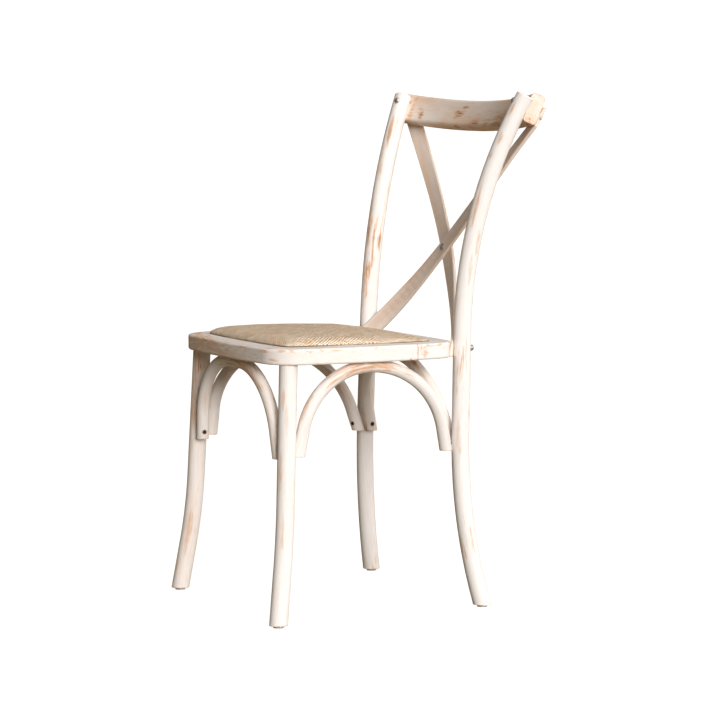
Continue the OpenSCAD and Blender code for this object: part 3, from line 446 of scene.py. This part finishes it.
def glide():
    """Beige plastic, mottled, and darker where it rubs on the floor."""
    g = Graph("glide_plastic")
    mottle = g.noise(g.spread([500] * 3), detail=3.0)
    scuff = g.step(g.place()[Z], 0.0, SCUFF_HIGH, 1.0, 0.0)
    colour = g.mix(g.step(mottle, 0.4, 0.7), (0.62, 0.58, 0.53), (0.50, 0.46, 0.42))
    colour = g.mix(scuff, colour, (0.34, 0.31, 0.28))
    g.bump(mottle, 0.2, 0.0002)
    return g.finish(colour, g.times(mottle, 0.2, plus=0.45))


dress("seat_board", raw_wood("board", X, (0.56, 0.38, 0.21), (0.40, 0.24, 0.12)))
dress("hoop_dowels", raw_wood("dowel", Y, (0.60, 0.42, 0.25), (0.45, 0.28, 0.14)))
zinc = steel("zinc_plated_steel", (0.60, 0.60, 0.59), 1900)
for name in ("crest_bolts", "crest_nuts", "seat_bolts", "seat_barrel_nuts", "slat_top_screws",
             "crossing_screw", "crossing_washer", "seat_board_screws"):
    dress(name, zinc)
arch_steel = steel("dark_screw_steel", (0.06, 0.05, 0.045), 1500)
for name in ("arch_leg_screws", "arch_seat_screws"):
    dress(name, arch_steel)
dress("foot_glides", glide())


# Woven seat pad

ring_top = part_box("seat_front_hoop")[1].z
ROLL_FROM = 0.88    # where the pad's rolled edge starts, as a share of the way out
ROLL_HIGH = 0.0112  # height of the roll over the ring, metres
CROWN = 0.0040      # rise from the roll to the middle, metres
SLOPE = 0.024       # the pad is fuller at its front: fall of the roll per metre to the back
BULGE = 0.0024      # how far the roll hangs over the ring, metres
RIM_DOWN = 0.0025   # how far under the ring's top the cover's outline is taken, metres
AROUND = 240        # points round the pad
ACROSS = 44         # rings of points from its middle to its edge
OUTERMOST = 0.9992  # share of the way out of the last ring on its top

STRAND = 0.0050     # from one strand of the weave to the next, metres
WEAVE_TURN = 45     # the strands run diagonally to the chair, degrees
WEAVE_DEPTH = 0.0012  # depth of the weave's relief, metres
EDGE_RUN = 1.2      # metres of weave for each metre down the rolled edge
REED = (0.86, 0.58, 0.34)
REED_PALE = (0.98, 0.87, 0.71)
REED_BROWN = (0.66, 0.42, 0.21)
REED_SIDE_SHADE = (0.55, 0.31, 0.14)
# Dark fibre flecks, and painted shade in the gaps between the strands
REED_FLECK_AND_GAP_SHADE = (0.13, 0.055, 0.020)


def weave_strands(g, across, along):
    """Height of one set of strands, and the row that each point is in.

    A strand is round across, and goes over one and under the next along.
    """
    row = g.math("FLOOR", across)
    arch = g.math("SINE", g.times(g.math("FRACT", across), math.pi))
    over = g.math("SINE", g.times(g.math("ADD", along, row), math.pi))
    return g.times(over, 0.45, plus=g.times(arch, 0.75, plus=-0.1)), row


def weave_material():
    """Strands of reed over and under each other, each with its own tone, with painted shade low on
    the strands' sides and in the gaps between them.
    """
    g = Graph("rattan_weave")
    x, y, z = g.place()
    # The weave runs on down the rolled edge: the way down counts as way outwards
    outward = g.parts(g.node("ShaderNodeTexCoord").outputs["Normal"])
    down = g.times(g.math("SUBTRACT", ring_top + ROLL_HIGH, z, clamp=True), EDGE_RUN)
    x, y = (g.times(n, down, plus=c) for n, c in zip(outward, (x, y)))
    # a and b count the strands of the two sets, which wander a little
    c, s = (f(math.radians(WEAVE_TURN)) / STRAND for f in (math.cos, math.sin))
    wander = g.noise(g.vector(g.times(x, 60), g.times(y, 60), 0.0), detail=2.0)
    a = g.times(wander, 0.5, plus=g.times(x, c, plus=g.times(y, s)))
    b = g.times(wander, -0.5, plus=g.times(x, -s, plus=g.times(y, c)))
    warp, warp_row = weave_strands(g, a, b)
    weft, weft_row = weave_strands(g, b, g.math("ADD", a, 1.0))
    height = g.most(warp, weft)

    # Each strand has its own tone, which changes slowly along it
    tones = []
    for row, along, seed, shift in ((warp_row, b, 1.5, 0.0), (weft_row, a, 4.5, 7.0)):
        slow = g.noise(g.vector(g.times(row, 0.37), g.times(along, 0.16), shift), detail=2.0)
        tones.append(g.times(g.random(row, 0.0, seed), 0.45, plus=g.times(slow, 1.4, plus=-0.42)))
    on_top = g.math("GREATER_THAN", warp, weft)
    tone = g.times(g.math("SUBTRACT", tones[0], tones[1]), on_top, plus=tones[1])
    fibre = g.noise(g.vector(g.times(a, 5), g.times(b, 5), g.times(z, 400)), detail=4.0)
    blotch = g.noise(g.vector(g.times(x, 18), g.times(y, 18), 3.0), detail=3.0)
    colour = g.mix(g.step(tone, 0.15, 0.75), REED, REED_PALE)
    colour = g.mix(g.step(fibre, 0.5, 0.75, 0.0, 0.18), colour, REED_FLECK_AND_GAP_SHADE)
    colour = g.mix(g.step(blotch, 0.5, 0.75, 0.0, 0.2), colour, REED_BROWN)
    # Painted shade: the strands are darker low on their sides, where they dip under each other.
    colour = g.mix(g.step(height, 0.95, 0.55, 0.0, 0.15), colour, REED_SIDE_SHADE)
    # Each crossing of strands leaves a hole, wider or narrower, painted dark as the shade in it
    near_a, near_b = (g.math("FLOOR", g.math("ADD", way, 0.5)) for way in (a, b))
    open_to = g.times(g.random(near_a, near_b, 8.5), 0.26, plus=0.36)
    gap_shade = g.step(g.math("SUBTRACT", height, open_to), 0.12, -0.12)
    colour = g.mix(gap_shade, colour, REED_FLECK_AND_GAP_SHADE)
    g.bump(height, 0.9, WEAVE_DEPTH)
    return g.finish(colour, g.times(fibre, 0.2, plus=0.5), Specular_IOR_Level=0.3)


def pad_outline(middle, height):
    """The cover's outline at a height, as ways out from the middle and how far they go."""
    cover = nodes["rattan_seat_cover"].data
    tree = BVHTree.FromPolygons(
        [v.co.copy() for v in cover.vertices], [tuple(p.vertices) for p in cover.polygons])
    outside = 0.5
    ways, reach = [], []
    for k in range(AROUND):
        angle = 2 * math.pi * k / AROUND
        way = Vector((math.cos(angle), math.sin(angle), 0))
        hit = tree.ray_cast(middle + way * outside + Vector((0, 0, height)), -way)[0]
        ways.append(way)
        reach.append(math.hypot(hit.x - middle.x, hit.y - middle.y))
    return ways, reach


def pad_mesh():
    """The crowned pad with its rolled edge, laid over the space of the cover's solid."""
    low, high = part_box("rattan_seat_cover")
    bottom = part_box("seat_foam")[0].z
    middle = Vector(((low.x + high.x) / 2, (low.y + high.y) / 2, 0))
    half = (high - low) / 2
    rim = ring_top - RIM_DOWN
    ways, reach = pad_outline(middle, rim)
    points = []

    def ring(share, z=None, inset=0.0):
        """One ring of points at a share of the way out, on the pad's top or at height z."""
        start = len(points)
        for way, r in zip(ways, reach):
            # The rings are ovals in the middle and take the outline's form further out
            oval = 1 / math.hypot(way.x / half.x, way.y / half.y)
            p = middle + way * (share * (oval + (r - inset - oval) * share ** 6))
            if z is None:
                edge = max(0.0, (share - ROLL_FROM) / (1 - ROLL_FROM))
                up = math.sqrt(1 - edge * edge)
                p += way * (BULGE * math.sin(math.pi * up) * edge)
                roll = ROLL_HIGH - SLOPE * (p.y - middle.y)
                p.z = ring_top + roll * up + CROWN * (1 - share * share) ** 1.1
            else:
                p.z = z
            points.append(p)
        return start

    # From the middle outwards, with closer rings towards the rolled edge, then down the side
    points.append(middle + Vector((0, 0, ring_top + ROLL_HIGH + CROWN)))
    shares = [math.sin(0.5 * math.pi * (j / ACROSS) ** 0.9) for j in range(1, ACROSS)]
    starts = [ring(share) for share in shares + [OUTERMOST]]
    # The side's rings, each with its height and how far it is drawn in
    side = ((rim + 0.0020, 0.0), (rim - 0.0010, 0.0002),
            (bottom + 0.0012, 0.0004), (bottom, 0.0014))
    starts += [ring(1.0, z, inset) for z, inset in side]
    points.append(Vector((middle.x, middle.y, bottom)))
    last = len(points) - 1
    neighbours = [(k, (k + 1) % AROUND) for k in range(AROUND)]
    faces = [(0, starts[0] + k, starts[0] + n) for k, n in neighbours]
    for a, b in zip(starts, starts[1:]):
        faces += [(a + k, b + k, b + n, a + n) for k, n in neighbours]
    faces += [(last, starts[-1] + n, starts[-1] + k) for k, n in neighbours]

    mesh = bpy.data.meshes.new("rattan_pad")
    mesh.from_pydata([p[:] for p in points], [], faces)
    mesh.validate()
    mesh.shade_smooth()
    return mesh


def show(name, data):
    """A new object in the scene."""
    thing = bpy.data.objects.new(name, data)
    bpy.context.scene.collection.objects.link(thing)
    return thing


weave = weave_material()
pad = show("rattan_pad", pad_mesh())
pad.data.materials.append(weave)
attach(pad, "root")
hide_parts("rattan_seat_cover", "seat_foam")
for name in ("rattan_seat_cover", "seat_foam"):
    dress(name, weave)


# Camera, light, floor and world

LENS = 129.9115  # millimetres
SENSOR = 36      # millimetres
EYE = (3.994732, -2.150295, 0.863985)
TURN = math.radians(61.654)
DOWN = 0.0983115
ROLL = 0.000958894
KEY = 1.05
EDGE = 0.38
TOP = 0.34
AMBIENT = 0.065
BACKDROP = 1.1     # over 1, so that the corners stay white
FLOOR_GLOW = 0.96
FLOOR_HALF = 60    # half the floor's side, metres
FLOOR_Z = -0.0002  # just under the glides, metres


def camera():
    """The photo's camera, solved from its outlines."""
    data = bpy.data.cameras.new("camera")
    data.lens = LENS
    data.sensor_width = SENSOR
    data.clip_end = 100
    eye = show("camera", data)
    eye.location = EYE
    eye.rotation_euler = (math.pi / 2 - DOWN, ROLL, TURN)
    bpy.context.scene.camera = eye


def sun(name, toward, strength, colour, angle):
    """A soft lamp that shines from the direction toward."""
    data = bpy.data.lights.new(name, "SUN")
    data.energy = strength * math.pi
    data.color = colour
    data.angle = math.radians(angle)
    show(name, data).rotation_euler = Vector(toward).to_track_quat("Z", "Y").to_euler()


def world():
    """White where the camera or glass looks past the chair, and dim warm air elsewhere."""
    studio = bpy.data.worlds.new("studio")
    bpy.context.scene.world = studio
    studio.use_nodes = True
    tree = studio.node_tree
    link = tree.links.new
    tree.nodes.clear()
    path = tree.nodes.new("ShaderNodeLightPath")
    either = tree.nodes.new("ShaderNodeMath")
    either.operation = "MAXIMUM"
    link(path.outputs["Is Camera Ray"], either.inputs[0])
    link(path.outputs["Is Transmission Ray"], either.inputs[1])
    choose = tree.nodes.new("ShaderNodeMixShader")
    link(either.outputs[0], choose.inputs[0])
    for k, colour, strength in ((1, (1.0, 0.78, 0.46), AMBIENT), (2, WHITE, BACKDROP)):
        light = tree.nodes.new("ShaderNodeBackground")
        light.inputs["Color"].default_value = (*colour, 1)
        light.inputs["Strength"].default_value = strength
        link(light.outputs[0], choose.inputs[k])
    link(choose.outputs[0], tree.nodes.new("ShaderNodeOutputWorld").inputs["Surface"])


def floor_material():
    """Paper that the camera sees as white, with the chair's shadow on it."""
    g = Graph("floor_paper")
    fibres = g.noise(g.spread([40] * 3), detail=3.0)
    paper = g.mix(fibres, (0.22, 0.180, 0.115), (0.24, 0.195, 0.125))
    g.finish(paper, 0.9, Specular_IOR_Level=0.1)
    glow = g.node("ShaderNodeEmission")
    g.put(glow.inputs["Color"], WHITE)
    g.put(glow.inputs["Strength"], FLOOR_GLOW)
    seen = g.node("ShaderNodeMixShader")
    g.put(seen.inputs[0], g.node("ShaderNodeLightPath").outputs["Is Camera Ray"])
    g.put(seen.inputs[2], glow.outputs[0])
    both = g.node("ShaderNodeAddShader")
    g.put(both.inputs[0], g.shader.outputs[0])
    g.put(both.inputs[1], seen.outputs[0])
    g.put(g.output.inputs["Surface"], both.outputs[0])
    return g.material


def floor():
    mesh = bpy.data.meshes.new("floor")
    corners = [(x * FLOOR_HALF, y * FLOOR_HALF, FLOOR_Z)
               for x, y in ((-1, -1), (1, -1), (1, 1), (-1, 1))]
    mesh.from_pydata(corners, [], [(0, 1, 2, 3)])
    mesh.materials.append(floor_material())
    show("floor", mesh)


camera()
sun("key", (0.97, -0.16, 0.31), KEY, (1.0, 0.99, 0.985), 24)
sun("edge", (0.25, 0.92, 0.25), EDGE, (1.0, 0.99, 0.985), 40)
sun("top", (0.15, 0.0, 1.0), TOP, (1.0, 0.985, 0.97), 50)
world()
floor()

bpy.context.scene.view_settings.view_transform = "Standard"
